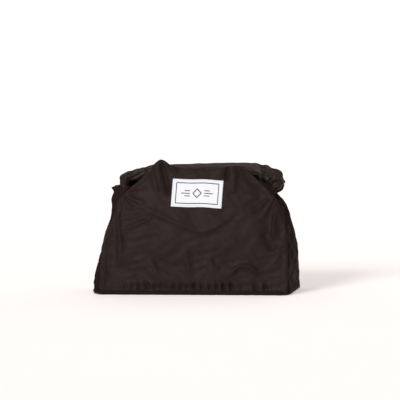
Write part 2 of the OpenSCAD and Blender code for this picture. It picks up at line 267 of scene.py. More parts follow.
def sweep(name, line, radius, material, sides, closed=False):
    """A round tube along a line of points, with one radius for each point."""
    turn = np.linspace(0, 2 * math.pi, sides, endpoint=False)
    offsets = radius[:, None, None] * np.stack([np.cos(turn), np.sin(turn)], -1)
    return tube(name, rings_of(line, offsets, closed), material, closed)


def join(name, objects):
    """One object from several."""
    bpy.ops.object.select_all(action="DESELECT")
    for o in objects:
        o.select_set(True)
    bpy.context.view_layer.objects.active = objects[0]
    bpy.ops.object.join()
    objects[0].name = name
    return objects[0]


# ---------------- cloth
def resized(values, rows, columns):
    """A grid of vectors at another count of rows and columns, by smooth interpolation."""
    for axis, count in ((0, rows), (1, columns)):
        values = np.moveaxis(values, axis, 0)
        at = np.linspace(0, len(values) - 1, count)
        i = np.clip(at.astype(int), 0, len(values) - 2)
        t = (at - i).reshape(-1, *[1] * (values.ndim - 1))
        before, a, b, after = (values[np.clip(i + k, 0, len(values) - 1)] for k in (-1, 0, 1, 2))
        values = (2 * a + (b - before) * t + (2 * before - 5 * a + 4 * b - after) * t**2
                  + (3 * a - before - 3 * b + after) * t**3) / 2
        values = np.moveaxis(values, 0, axis)
    return values


SETTLE_FRAMES = 18
SAG = 0.05  # share of gravity in the cloth simulation


def settle(grid, growth, cap, thin=2, free_top=False):
    """The grid after a cloth simulation: it is held along its edges, given spare cloth and left to wrinkle.

    growth is the share of spare length, and cap the furthest that a point may move, in millimetres. The
    simulated cloth has one row and column for each thin ones of the grid. free_top leaves the top edge loose.
    """
    rows, columns = grid.shape[0] // thin, grid.shape[1] // thin
    start = resized(grid, rows, columns)
    sheet = mesh_object("cloth", start.reshape(-1, 3), quads(rows, columns), None)
    held = np.zeros((rows, columns))
    held[:, :2] = 1
    held[:, -2:] = 1
    held[:2] = 1
    if not free_top:
        held[-2:] = 1
    group = sheet.vertex_groups.new(name="held")
    group.add([int(k) for k in np.flatnonzero(held.ravel())], 1.0, "ADD")
    cloth = sheet.modifiers.new("cloth", "CLOTH")
    settings = cloth.settings
    settings.quality = 6
    settings.mass = 0.12
    settings.tension_stiffness = 20
    settings.compression_stiffness = 20
    settings.shear_stiffness = 8
    settings.bending_stiffness = 0.08
    settings.air_damping = 4
    settings.shrink_min = -growth
    settings.vertex_group_mass = "held"
    settings.effector_weights.gravity = SAG
    cloth.point_cache.frame_start = 1
    cloth.point_cache.frame_end = SETTLE_FRAMES
    scene = bpy.context.scene
    for f in range(1, SETTLE_FRAMES + 1):
        scene.frame_set(f)
    result = sheet.evaluated_get(bpy.context.evaluated_depsgraph_get()).data
    end = np.empty(rows * columns * 3)
    result.vertices.foreach_get("co", end)
    scene.frame_set(1)
    bpy.data.objects.remove(sheet)
    moved = end.reshape(rows, columns, 3) / MM - start
    far = np.linalg.norm(moved, axis=2, keepdims=True)
    moved *= cap * np.tanh(far / cap) / np.maximum(far, 1e-9)
    return grid + resized(moved, *grid.shape[:2])


# ---------------- materials
class Nodes:
    """Short names for building a material's nodes."""

    def __init__(self, name):
        self.material = bpy.data.materials.new(name)
        self.material.use_nodes = True
        self.tree = self.material.node_tree
        self.tree.nodes.clear()
        self.shader = self.add("ShaderNodeBsdfPrincipled")
        out = self.add("ShaderNodeOutputMaterial")
        self.link(self.shader.outputs[0], out.inputs["Surface"])
        self.place = self.add("ShaderNodeTexCoord").outputs["Object"]

    def add(self, kind, **values):
        node = self.tree.nodes.new(kind)
        for key, value in values.items():
            setattr(node, key, value)
        return node

    def link(self, a, b):
        self.tree.links.new(a, b)

    def noise(self, scale, detail):
        node = self.add("ShaderNodeTexNoise")
        node.inputs["Scale"].default_value = scale
        node.inputs["Detail"].default_value = detail
        node.inputs["Roughness"].default_value = 0.55
        self.link(self.place, node.inputs["Vector"])
        return node.outputs["Fac"]

    def wave(self, direction, scale):
        node = self.add("ShaderNodeTexWave", wave_type="BANDS", bands_direction=direction)
        node.inputs["Scale"].default_value = scale
        node.inputs["Distortion"].default_value = 0.6
        node.inputs["Detail"].default_value = 1.0
        self.link(self.place, node.inputs["Vector"])
        return node.outputs["Fac"]

    def ramp(self, fac, stops):
        node = self.add("ShaderNodeValToRGB")
        ramp = node.color_ramp
        while len(ramp.elements) < len(stops):
            ramp.elements.new(0.5)
        for element, (at, colour) in zip(ramp.elements, stops):
            element.position = at
            element.color = (*colour, 1)
        self.link(fac, node.inputs["Fac"])
        return node.outputs["Color"]

    def range(self, fac, low, high):
        node = self.add("ShaderNodeMapRange")
        node.inputs["To Min"].default_value = low
        node.inputs["To Max"].default_value = high
        self.link(fac, node.inputs["Value"])
        return node.outputs["Result"]

    def math(self, kind, a, b):
        node = self.add("ShaderNodeMath", operation=kind)
        for socket, value in zip(node.inputs, (a, b)):
            if isinstance(value, (int, float)):
                socket.default_value = value
            else:
                self.link(value, socket)
        return node.outputs[0]

    def bump(self, height, strength, distance):
        node = self.add("ShaderNodeBump")
        node.inputs["Strength"].default_value = strength
        node.inputs["Distance"].default_value = distance
        self.link(height, node.inputs["Height"])
        self.link(node.outputs["Normal"], self.shader.inputs["Normal"])

    def set(self, **values):
        """Uniform values of the shader's sockets, whose names have _ for each space."""
        for key, value in values.items():
            self.shader.inputs[key.replace("_", " ")].default_value = value


PATCHES = 26  # how closely a cloth's cloudy patches follow each other


def woven(name, dark, light, rough, sheen, threads=1500, strength=0.25, specular=0.06):
    """Fabric: two crossed sets of threads, cloudy colour and an uneven gloss."""
    n = Nodes(name)
    broad = n.math("MULTIPLY", n.noise(PATCHES, 5.0), 0.62)
    fine = n.math("MULTIPLY", n.noise(230, 3.0), 0.38)
    cloud = n.math("ADD", broad, fine)
    n.link(n.ramp(cloud, [(0.3, dark), (0.72, light)]), n.shader.inputs["Base Color"])
    n.link(n.range(n.noise(PATCHES * 3.1, 3.0), rough - 0.07, rough + 0.07), n.shader.inputs["Roughness"])
    bands = threads / 6.283  # a wave texture's own unit is one turn
    weave = n.math("MULTIPLY", n.wave("X", bands), n.wave("Z", bands))
    height = n.math("ADD", weave, n.math("MULTIPLY", n.noise(420, 3.0), 0.6))
    n.bump(height, strength, 0.00012)
    n.set(Sheen_Weight=sheen, Sheen_Roughness=0.45, Specular_IOR_Level=specular)
    n.shader.inputs["Sheen Tint"].default_value = (1.0, 0.86, 0.8, 1)
    return n.material


def metal(name, colour, rough):
    """Polished metal with slightly cloudy colour and gloss."""
    n = Nodes(name)
    n.link(n.ramp(n.noise(300, 3.0), [(0.2, tuple(0.75 * c for c in colour)), (0.8, colour)]),
           n.shader.inputs["Base Color"])
    n.link(n.range(n.noise(900, 4.0), rough - 0.08, rough + 0.1), n.shader.inputs["Roughness"])
    n.bump(n.noise(1800, 2.0), 0.12, 0.00005)
    n.set(Metallic=1.0)
    return n.material


def plastic(name, colour, rough):
    """Moulded plastic with a fine grain."""
    n = Nodes(name)
    n.link(n.ramp(n.noise(120, 4.0), [(0.25, tuple(0.8 * c for c in colour)), (0.8, colour)]),
           n.shader.inputs["Base Color"])
    n.link(n.range(n.noise(500, 3.0), rough - 0.06, rough + 0.08), n.shader.inputs["Roughness"])
    n.bump(n.noise(1400, 3.0), 0.2, 0.00006)
    return n.material


SHELL = woven("satin_nylon", (0.0148, 0.0082, 0.0074), (0.0235, 0.0133, 0.0118), 0.54, 0.01,
              specular=0.08)
SIDE = woven("satin_nylon_sides", (0.0145, 0.008, 0.0072), (0.023, 0.0134, 0.012), 0.62, 0.0,
             specular=0.012)
# The shell's satin for the rolled hem, also glossier: its colour is painted lighter than the shell's, as
# painted light where light falls on the roll.
ROLL_PAINTED_LIGHT = woven("satin_nylon_roll_painted_light", (0.0165, 0.0094, 0.0082), (0.029, 0.0166, 0.0144), 0.5, 0.01,
             specular=0.14)
LINING = woven("taffeta_lining", (0.046, 0.034, 0.031), (0.064, 0.049, 0.044), 0.55, 0.04,
               threads=1200)
PIPING = woven("piping_nylon", (0.011, 0.0066, 0.0062), (0.0145, 0.0086, 0.008), 0.62, 0.015)
LABEL = woven("woven_label", (0.77, 0.795, 0.83), (0.82, 0.845, 0.875), 0.6, 0.05,
              threads=2600, strength=0.4)
LABEL_INK = woven("label_thread_navy", (0.055, 0.062, 0.085), (0.09, 0.098, 0.125), 0.6, 0.1,
                  threads=2600)
THREAD = woven("seam_thread", (0.022, 0.015, 0.014), (0.034, 0.024, 0.022), 0.6, 0.3, threads=3000)
LABEL_STITCH = woven("label_stitch_thread", (0.62, 0.61, 0.6), (0.74, 0.73, 0.72), 0.6, 0.2,
                     threads=3000)
CORD = woven("braided_cord", (0.016, 0.011, 0.0105), (0.028, 0.02, 0.019), 0.65, 0.3,
             threads=2400, strength=0.7)
TAPE = woven("zip_tape_knit", (0.015, 0.0105, 0.0098), (0.024, 0.017, 0.016), 0.68, 0.25,
             threads=2200)
COIL = plastic("zip_coil_nylon", (0.03, 0.03, 0.032), 0.38)
LOCK = plastic("lock_plastic", (0.02, 0.02, 0.021), 0.42)
GUNMETAL = metal("gunmetal", (0.33, 0.33, 0.34), 0.3)
STEEL = metal("spring_steel", (0.55, 0.55, 0.56), 0.28)
BOARD = plastic("board_sheet", (0.33, 0.31, 0.28), 0.6)
FOAM = woven("foam_pad", (0.52, 0.5, 0.46), (0.62, 0.6, 0.56), 0.9, 0.1, threads=900)

# ---------------- label's place
LABEL_AT = (6.9, 118.4)
LABEL_SIZE = (60.5, 32)
LABEL_TILT = math.radians(2.3)


def under_label(x, z):
    """1 under the label, whose stiff cloth keeps the panel flat, falling to 0 round it."""
    right = (x - LABEL_AT[0]) * math.cos(LABEL_TILT) - (z - LABEL_AT[1]) * math.sin(LABEL_TILT)
    up = (z - LABEL_AT[1]) * math.cos(LABEL_TILT) + (x - LABEL_AT[0]) * math.sin(LABEL_TILT)
    beside = np.maximum(np.abs(right) - LABEL_SIZE[0] / 2, 0)
    above = np.maximum(np.abs(up) - LABEL_SIZE[1] / 2, 0)
    return 1 - smoothstep(0, 5, np.hypot(beside, above))


# ---------------- front panel
ROWS, COLUMNS = 176, 250
HEM_W, HEM_T = 6.5, 0.7  # the turned and stitched strip along each side edge
CURL_R = 1.9  # radius of the soft roll along the top edge
CURL_SHARE = 0.035  # share of the rows that the roll takes
CURL_TURN = math.pi * 0.85  # how far round the roll goes
FRONT_BELLY = 3.4  # how far the front bulges in its middle
DENT, DENT_Z, DENT_REACH = 2.2, 32, 20  # how far it draws in again, at what height and how far round it
WRAP_FULL_Z = 40  # the side edges turn back more and more up to this height


def front_grid():
    """Outer face of the front panel. Rows go up and columns run to the viewer's right."""
    v, u = np.meshgrid(np.linspace(0, 1, ROWS), np.linspace(-1, 1, COLUMNS), indexing="ij")
    flat = np.minimum(v / (1 - CURL_SHARE), 1)
    z = WALL_Z + (PANEL_TOP - CURL_R - WALL_Z) * flat
    left, right = front_left(z), front_right(z)
    x = left + (right - left) * (u + 1) / 2
    z = z + (front_top(x) - PANEL_TOP) * smoothstep(0.55, 1, flat)
    belly = FRONT_BELLY * np.sin(math.pi * np.clip(z / TOP_Z, 0, 1))
    belly = belly - DENT * np.exp(-((z - DENT_Z) / DENT_REACH) ** 2)
    belly = belly * (1 - u**2)
    edge = np.minimum(x - left, right - x)
    wrap = (1.6 * np.abs(u) ** 8 + 3.2 * np.abs(u) ** 3.5) * np.minimum(z / WRAP_FULL_Z, 1)
    wrap = wrap + 1.2 * np.exp(-edge / 1.2)
    fold = front_folds(x, z, edge) * (1 - 0.85 * under_label(x, z))
    seam = np.exp(-((edge - HEM_W + 1.6) / 0.7) ** 2)
    hem = HEM_T * (smoothstep(HEM_W + 0.7, HEM_W - 0.7, edge) - 0.8 * seam)
    y = lean(z) - DEPTH / 2 + wrap - belly - (fold + hem)
    turn = np.clip((v - 1 + CURL_SHARE) / CURL_SHARE, 0, 1) * CURL_TURN
    y = y + CURL_R * (1 - np.cos(turn))
    z = z + CURL_R * np.sin(turn)
    return np.stack([x, y, z], -1)


FOLD_GAIN = 1.9  # strength of every crease of the front panel
# Creases of the front panel: the (x, z) points that each follows, its width, its height and its step.
SWAG = ((-76, 101), (-60, 98), (-45, 94), (-26, 87), (-6, 79), (12, 74), (27, 77), (38, 83), (48, 89),
        (60, 96))
FRONT_CREASES = (
    (SWAG, 4.6, 0.7, 0.75),
    (((-86, 77), (-70, 80), (-57, 86), (-43, 92)), 2.8, 0.8, 0.3),
    (((-86, 101), (-70, 102), (-54, 101), (-40, 97)), 2.8, 0.6, 0.3),
    (((-88, 90), (-72, 90), (-56, 94), (-42, 91)), 2.4, 0.5, 0.2),
    (((-41, 158), (-38, 148), (-33, 132), (-27, 114)), 3.4, -1.8, -0.9),
    (((-50, 152), (-47, 138), (-40, 118)), 3.6, 1.4, 0),
    (((-30, 154), (-23, 146), (-18, 140)), 3.0, 1.0, 0.3),
    (((45, 152), (43, 144), (41, 132)), 2.6, -1.4, 0.8),
    (((53, 148), (50, 134), (50, 116)), 3.8, 1.0, 0),
    (((-92, 106), (-89, 84), (-86, 56), (-88, 30)), 4.4, 1.0, 0.9),
    (((-84, 122), (-72, 112), (-54, 104)), 4, 0.7, 0.3),
    (((92, 116), (80, 104), (66, 98)), 4, 1.0, 0.5),
    (((103, 104), (98, 88), (97, 64)), 4.2, 1.1, 0.7),
    (((84, 74), (92, 64), (100, 50)), 6, -1.6, 0),
    (((48, 20), (54, 30), (64, 34), (74, 30), (79, 20)), 3.6, 1.9, 0.9),
    (((2, 8), (0, 30), (-4, 56)), 4.2, 1.2, 0.5),
    (((24, 8), (25, 30), (22, 50)), 3.8, 1.1, -0.5),
    (((-36, 8), (-40, 30), (-48, 48)), 3.8, 0.8, 0.4),
)


def front_folds(x, z, edge):
    """How far the front panel's creases stand out, in millimetres."""
    fold = creases(x, z, FRONT_CREASES)
    fold += pucker_row(x, z)
    fold += 0.4 * ripples(x, z, 36, 3, heading=0.6, spread=2.4)
    fold += 0.16 * ripples(x, z, 12, 5, heading=1.2, spread=3.0)
    fold += knot_rays(x, z, (-82, 121), -10, 26, 0.8, 8)
    fold += knot_rays(x, z, (94, 118), 8, 24, 0.7, 9)
    return FOLD_GAIN * fold * smoothstep(0, 5, edge) * smoothstep(2, 8, z)


def pucker_row(x, z):
    """Short upright tucks where the panel is eased into the base seam."""
    low = np.exp(-((z - 9.5) / 5) ** 2) * smoothstep(-90, -50, x) * smoothstep(104, 84, x)
    sharp = ripples(x + 0.12 * z, 0.35 * z, 10, 11, spread=0.5)
    return low * (1.7 * sharp - 1.2 * np.maximum(sharp - 0.25, 0) - 0.5)


def knot_rays(x, z, knot, shift, reach, height, seed):
    """Creases that fan out from a gathered corner."""
    near = np.exp(-(np.hypot(x - knot[0], z - knot[1]) / reach) ** 2)
    angle = np.degrees(np.arctan2(z - knot[1], x - knot[0] - shift))
    return height * near * ripples(angle, z * 0, 24, seed, spread=0.2)


# ---------------- back panel and its rolled hem
BACK_CREASES = (
    (((-70, 96), (-30, 84), (12, 82), (64, 98)), 6, 1.5, 0.9),
    (((-88, 118), (-62, 104), (-40, 100)), 4, 1.2, 0.6),
    (((90, 118), (66, 106), (44, 104)), 4, 1.2, -0.6),
    (((-20, 20), (-24, 50), (-18, 76)), 6, 1.0, 0.5),
)


BACK_BELLY = 2.6
BACK_GAIN = 1.5  # strength of every fold of the back panel


def back_grid(folds=1.0):
    """Outer face of the back panel, with its folds or, at 0, without. Columns run to the viewer's right."""
    v, u = np.meshgrid(np.linspace(0, 1, ROWS), np.linspace(-1, 1, COLUMNS), indexing="ij")
    z = WALL_Z + (BACK_TOP - WALL_Z) * v
    left, right = back_left(z), back_right(z)
    x = left + (right - left) * (u + 1) / 2
    belly = BACK_BELLY * np.sin(math.pi * np.clip(z / TOP_Z, 0, 1)) * (1 - u**2)
    edge = np.minimum(x - left, right - x)
    wrap = 6 * np.abs(u) ** 6 * z / TOP_Z + 1.4 * np.exp(-edge / 1.4)
    fold = 0.5 * ripples(x, z, 36, 21, heading=0.5, spread=2.4) + 0.2 * ripples(x, z, 13, 22)
    fold += 1.1 * np.exp(-((z - 13) / 9) ** 2) * ripples(x, 0.35 * z, 14, 23, spread=0.5)
    fold += creases(x, z, BACK_CREASES)
    gathered = smoothstep(108, 138, z) * (0.35 + 0.65 * u**2)
    fold += 1.8 * gathered * ripples(x, 0.3 * z, 17, 24, spread=0.6)
    out = belly + BACK_GAIN * folds * fold * smoothstep(0, 5, edge) * smoothstep(2, 8, z)
    y = DEPTH / 2 - lean(z) - wrap + out
    return np.stack([x, y, z], -1)


# The back's hem is a soft roll, thin along the mouth and swollen where it is gathered at both shoulders:
# (x, y, z, radius) from its left end to its right end.
BACK_ROLL = ((-84, -6, 121, 2.6), (-86, 0, 127, 5), (-85, 6, 133, 7.6), (-79.5, 9, 134.8, 7.8),
             (-72, 11, 136.5, 7.6), (-63, 12, 139.6, 7.4), (-52, 13, 143.4, 6.2), (-36, 13.5, 145.2, 5.0),
             (-18, 13.5, 146.2, 4.6), (17, 13.5, 147.2, 4.6), (46, 13.5, 147.5, 4.8), (60, 12.5, 146.6, 5.6),
             (71, 11.5, 144, 7.4), (79, 10.5, 141.6, 8.4), (86, 9.5, 138.2, 8.8), (92, 8, 134.4, 10.4),
             (95.2, 6, 131, 11.4), (94.2, 4, 124.6, 9.6), (90.5, 2, 118, 6.0), (87.5, 0, 112, 3.4))
LIT_FACING_FROM, LIT_FACING_TO = -44, 80  # stretch of the hem whose front faces get the lining's lighter cloth: the lining turned over it, and also painted light where light falls on that strip


def back_roll(name, material, lit_lining_facing):
    """The rolled hem: a closed tube whose cloth is drawn into pleats along its swollen ends."""
    route = along(BACK_ROLL, 22)
    line, radius = route[:, :3], route[:, 3]
    count, sides = len(line), 72
    turn = np.linspace(0, 2 * math.pi, sides, endpoint=False)[None, :]
    run = lengths_along(line)[:, None]
    swell = smoothstep(4.6, 8, radius)[:, None]
    pleat = np.sin(5 * turn + run / 9 + 1.3 * np.sin(run / 14))
    pleat += 0.6 * np.sin(9 * turn - run / 6.5 + 2 * np.sin(run / 19))
    pleat += 0.8 * np.sin(3 * turn + run / 23)
    tuck = ripples(run + 0 * turn, 6 * np.cos(turn) + 0 * run, 9, 61, spread=1.0)
    small = ripples(run + 0 * turn, 5 * np.sin(turn) + 0 * run, 17, 62, spread=1.4)
    r = radius[:, None] * (1 + swell * 0.085 * pleat) + 0.35 * small + swell * 0.55 * tuck
    offsets = np.stack([r * np.cos(turn), 0.95 * r * np.sin(turn)], -1)
    roll = tube(name, rings_of(line, offsets), material)
    # The lining's lighter cloth on the roll's front faces is partly the lining turned over the hem and partly
    # painted light on the lit strip.
    roll.data.materials.append(lit_lining_facing)
    for face in list(roll.data.polygons)[:(count - 1) * sides]:
        middle = line[face.index // sides]
        ahead, above = middle[1] - face.center.y / MM, face.center.z / MM - middle[2]
        face.material_index = int(LIT_FACING_FROM + 2 * above < middle[0] < LIT_FACING_TO - above and ahead > 0)
    return roll


# ---------------- sides
SIDE_ROWS, SIDE_COLUMNS = 170, 193
CORNER_SHARE = 0.24  # share of a side's way round that its corner at each panel takes
SIDE_INSET = 1.2  # how far a side's edges lie within the panels' edges
SIDE_PLEATS = 5.5  # pleats round a side
PINCH = 2.6  # how far the cord draws a side in
LEFT_TOP, RIGHT_TOP, RIGHT_RISE = 126.5, 126, 5  # heights of the sides, and how much the right one rises


def side_grid(side):
    """Outer face of a side. Its columns run from the front panel, where a is 0, to the back panel, at 1."""
    v, a = np.meshgrid(np.linspace(0, 1, SIDE_ROWS), np.linspace(0, 1, SIDE_COLUMNS), indexing="ij")
    top = LEFT_TOP if side < 0 else RIGHT_TOP + RIGHT_RISE * smoothstep(0.5, 0.9, a)
    z = WALL_Z + (top - WALL_Z) * v
    front_x = side * (front_right(z) if side > 0 else front_left(z)) - SIDE_INSET
    back_x = side * (back_right(z) if side > 0 else back_left(z)) - SIDE_INSET
    wide = side * (side_right(z) if side > 0 else side_left(z))
    front_y = lean(z) - DEPTH / 2 + 1.6 + 4.6 * np.minimum(z / WRAP_FULL_Z, 1)
    back_y = DEPTH / 2 - lean(z) - 6 * z / TOP_Z - 1.6
    near_front = np.clip(1 - a / CORNER_SHARE, 0, 1) ** 2.2
    near_back = np.clip(1 - (1 - a) / CORNER_SHARE, 0, 1) ** 2.2
    x = wide - (wide - front_x) * near_front - (wide - back_x) * near_back
    y = front_y + (back_y - front_y) * (1 - np.cos(math.pi * a)) / 2
    open_share = np.sin(math.pi * a) ** 0.6
    gathers = 0.25 + 2.5 * smoothstep(24, 112, z)
    pleat = np.sin(2 * math.pi * (SIDE_PLEATS * a + 0.3 * np.sin(z / 24 + side)) + 1.7 * side)
    pleat = pleat + 0.3 * np.sin(2 * math.pi * (2 * SIDE_PLEATS * a + 0.2 * np.sin(z / 15)) + 0.6)
    round_way = a * 70
    hollow = 0.8 * ripples(round_way, z, 26, 31 + side, spread=2.0)
    hollow = hollow + 0.25 * ripples(round_way, z, 9, 35 + side)
    out = (gathers * pleat * 0.6 + hollow * smoothstep(2, 14, z)) * open_share
    pinch = -PINCH * np.exp(-((z - CORD_Z + 1) / 4) ** 2) * open_share
    middle_y = (front_y + back_y) / 2
    away = np.stack([np.sin(math.pi * a) + 0.25, (y - middle_y) / 26], -1)
    away /= np.linalg.norm(away, axis=2, keepdims=True)
    x = x + (out + pinch) * away[..., 0]
    y = y + (out + pinch) * away[..., 1]
    frill = smoothstep(CORD_Z + 1, CORD_Z + 7, z)
    x = x + frill * 0.5 * pleat * open_share
    z = z + frill * (0.1 if side < 0 else 0.5) * pleat * open_share
    return np.stack([side * x, y, z], -1)


def blurred(grid, reach):
    """A grid whose points are each the mean of those round it, within reach rows and columns."""
    window = np.ones(2 * reach + 1) / (2 * reach + 1)
    wide = np.pad(grid, ((reach, reach), (reach, reach), (0, 0)), "reflect", reflect_type="odd")
    for axis in (0, 1):
        wide = np.apply_along_axis(lambda line: np.convolve(line, window, "valid"), axis, wide)
    return wide


def behind(grid, depth, inward, skip):
    """A layer some depth behind a settled face, from LINING_LOW up and skip columns in from its edges.

    inward is -1 or 1, whichever way the face's normals have to be followed to go into the pouch.
    """
    smooth = blurred(grid, 2)
    layer = smooth + inward * depth * normals_of(smooth)
    first = int(np.argmax(grid[:, :, 2].min(1) > LINING_LOW))
    return layer[first:, skip:grid.shape[1] - skip]


FOLD_Y, FOLD_Z = 44, 2.5  # the hinge lines of both flaps


def split_side(name, side, whole, thickness, material, node):
    """A side in two halves, split at its middle column: a front half by the front panel and a rear half by
    the back panel.
    """
    middle = whole.shape[1] // 2
    halves = (("front", slice(None, middle + 1), FRONT), ("rear", slice(middle, None), BACK))
    for half, columns, flap in halves:
        piece = fabric(f"{name}_{half}", whole[:, columns], thickness, material, flip=side < 0)
        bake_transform(piece)
        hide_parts(node)


def keep(piece, body, slot, *nodes):
    """Attach a piece to the body it rides on and hide the CAD nodes it stands for. slot is not used."""
    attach(piece, body)
    if nodes:
        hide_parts(*nodes)


def flattened(grid, before):
    """The settled grid, whose move is evened out to a flat plane under the label."""
    x, z = before[..., 0], before[..., 2]
    share = under_label(x, z)
    inside = share > 0.5
    plane = np.stack([x, z, np.ones_like(x)], -1)
    fit = np.linalg.lstsq(plane[inside], (grid - before)[inside], rcond=None)[0]
    share = share[..., None]
    return grid * (1 - share) + (before + plane @ fit) * share


def clear_of_floor(grid, outward):
    """The grid with its folds held back, so that the flap stays out of the floor when it is folded out."""
    out = outward * grid[..., 1]
    furthest = FOLD_Y + 2.1 - 0.035 * (grid[..., 2] - FOLD_Z)
    room = furthest - out
    held = furthest - (room + np.sqrt(room**2 + 1)) / 2
    return np.stack([grid[..., 0], outward * held, grid[..., 2]], -1)


def clear_of_pocket(grid):
    """The back panel with its dips held back, so that its lining keeps clear of the zip's slider."""
    nearest = back_grid(folds=0)[..., 1] - 0.6
    room = grid[..., 1] - nearest
    held = nearest + (room + np.sqrt(room**2 + 0.4)) / 2
    return np.stack([grid[..., 0], held, grid[..., 2]], -1)


front_shape = front_grid()
front_shape = clear_of_floor(flattened(settle(front_shape, 0.005, 2.2), front_shape), -1)
back_shape = clear_of_floor(clear_of_pocket(settle(back_grid(), 0.008, 2.4)), 1)
top_row = int(ROWS * (1 - CURL_SHARE)) - 2  # the lining ends just below the curl
keep(fabric("front_panel_fabric", front_shape, FABRIC_T, SHELL), FRONT, "shell_fabric",
     "front_panel", "front_hem")
keep(fabric("back_panel_fabric", back_shape, FABRIC_T, SHELL, flip=True), BACK, "shell_fabric", "back_panel")
keep(back_roll("back_hem_roll", ROLL_PAINTED_LIGHT, LINING), BACK, "shell_fabric", "back_hem")
for side, word in ((-1, "left"), (1, "right")):
    shape = settle(side_grid(side), 0.012, 2.2, thin=3, free_top=True)
    split_side(f"{word}_side_fabric", side, shape, FABRIC_T, SIDE, f"{word}_side_panel")
    split_side(f"{word}_lining_fabric", side, behind(shape, LINING_DEPTH, -side, 8), LINING_T, LINING,
               f"{word}_side_lining")

front_inside = behind(front_shape[:top_row], LINING_DEPTH, -1, 6)
back_inside = behind(back_shape, LINING_DEPTH, 1, 6)
for word, body, inside in (("front", FRONT, front_inside), ("back", BACK, back_inside)):
    lining = fabric(f"{word}_lining_fabric", inside, LINING_T, LINING, flip=body == BACK)
    keep(lining, body, "lining_fabric", f"{word}_lining")

# ---------------- base and piping
PIPING_R = 2.6
PIPING_HALF = (115.5, 44)
PIPING_CORNER = 8
BASE_HALF = (112.5, 41)
PAD_HALF = (113.4, 41.9)  # the lining over the base pad, which its rim wraps
BASE_CORNER = 5.2


def rounded_outline(half, corner, parts, long_parts):
    """A rectangle with round corners, as points in order: parts at a corner, long_parts along a long edge."""
    points = []
    for turn in range(4):
        sx = 1 if turn in (0, 3) else -1
        sy = 1 if turn < 2 else -1
        centre = np.array([sx * (half[0] - corner), sy * (half[1] - corner)])
        arc = np.radians(np.linspace(90 * turn, 90 * turn + 90, parts))
        points.append(centre + corner * np.stack([np.cos(arc), np.sin(arc)], 1))
    outline = []
    for k in range(4):
        a, b = points[k], points[(k + 1) % 4]
        count = long_parts if k % 2 == 0 else long_parts // 3
        outline.append(a)
        outline.append(a[-1] + (b[0] - a[-1]) * np.linspace(0, 1, count + 2)[1:-1, None])
    return np.concatenate(outline)


def piping_piece():
    """Piping round the base, its cloth slightly uneven over the cord in it."""
    outline = rounded_outline(PIPING_HALF, PIPING_CORNER, parts=14, long_parts=150)
    uneven = 0.16 * ripples(outline[:, 0] + outline[:, 1], outline[:, 1], 9, 41)
    lift = 1.8 * smoothstep(-106, -116, outline[:, 0]) * smoothstep(20, -40, outline[:, 1])
    line = np.column_stack([outline, PIPING_R + 0.05 + lift])
    return sweep("base_piping_fabric", line, PIPING_R + uneven - 0.1, PIPING, sides=20, closed=True)


def plate(name, half, corner, low, thickness, crown, material, wrinkle, seed, skirt=0):
    """A flat piece of cloth over the whole base, crowned in its middle, with its rim turned down by skirt."""
    across, along_it = np.linspace(-1, 1, 150), np.linspace(-1, 1, 70)
    across[[1, -2]] = -0.997, 0.997
    along_it[[1, -2]] = -0.992, 0.992
    v, u = np.meshgrid(along_it, across, indexing="ij")
    into_corner = np.clip((np.abs(v) * half[1] - half[1] + corner) / corner, 0, 1)
    round_in = corner * (1 - np.sqrt(np.clip(1 - into_corner**2, 0, 1)))
    x = u * (half[0] - round_in)
    y = v * half[1]
    inside = (1 - np.abs(u) ** 6) * (1 - np.abs(v) ** 6)
    z = low + inside * (crown + wrinkle * ripples(x, y, 30, seed))
    z = z - skirt * (np.maximum(np.abs(u), np.abs(v)) > 0.9999)
    return fabric(name, np.stack([x, y, z + thickness], -1), thickness, material)


keep(piping_piece(), BODY, "piping_fabric", "base_piping")
base_under = plate("base_under_fabric", BASE_HALF, BASE_CORNER, low=0.15, thickness=1.0, crown=0.5,
                   material=SHELL, wrinkle=0.25, seed=71)
base_pad = plate("base_pad_lining", PAD_HALF, BASE_CORNER, low=5.6, thickness=0.8, crown=1.6,
                 material=LINING, wrinkle=0.6, seed=72, skirt=4.3)
keep(base_under, BODY, "shell_fabric", "base_panel")
keep(base_pad, BODY, "lining_fabric", "base_lining")

# ---------------- label
label_surface = front_shape[::2, ::2].reshape(-1, 3)


def surface_y(x, z):
    """Depth of the front panel's face at each point."""
    out = np.empty(x.size)
    for i, (px, pz) in enumerate(zip(x.ravel(), z.ravel())):
        d = (label_surface[:, 0] - px) ** 2 + (label_surface[:, 2] - pz) ** 2
        nearest = np.argpartition(d, 6)[:6]
        w = 1 / (d[nearest] + 0.05)
        out[i] = (label_surface[nearest, 1] * w).sum() / w.sum()
    return out.reshape(x.shape)


def on_label(right, up, lift):
    """Points of the label's plane, some lift in front of the front panel."""
    x = LABEL_AT[0] + right * math.cos(LABEL_TILT) + up * math.sin(LABEL_TILT)
    z = LABEL_AT[1] + up * math.cos(LABEL_TILT) - right * math.sin(LABEL_TILT)
    wave = 0.35 * np.sin(right / LABEL_SIZE[0] * math.pi * 2 + 0.6) + 0.15 * np.sin(right / 5)
    y = surface_y(x, z) - 1.0 - lift
    return np.stack([x, y, z + wave], -1)


def label_strip(name, a, b, width, lift):
    """A thin woven line on the label from a to b, in the label's own plane."""
    a, b = np.array(a, float), np.array(b, float)
    d = (b - a) / np.linalg.norm(b - a)
    n = np.array([-d[1], d[0]]) * width / 2
    t = np.linspace(0, 1, max(3, int(np.linalg.norm(b - a))))[None, :]
    rows = []
    for k in (-1, 1):
        p = a[:, None] + (b - a)[:, None] * t + k * n[:, None]
        rows.append(on_label(p[0:1], p[1:2], lift)[0])
    return fabric(name, np.array(rows), 0.12, LABEL_INK)


def label_piece():
    """The label's cloth."""
    up, right = np.meshgrid(np.linspace(-LABEL_SIZE[1] / 2, LABEL_SIZE[1] / 2, 44),
                            np.linspace(-LABEL_SIZE[0] / 2, LABEL_SIZE[0] / 2, 80), indexing="ij")
    return fabric("woven_label", on_label(right, up, 0.0), 0.5, LABEL)


FRAME_INSET = (5.0, 4.2)  # from the label's edges to its woven border line, sideways and upright


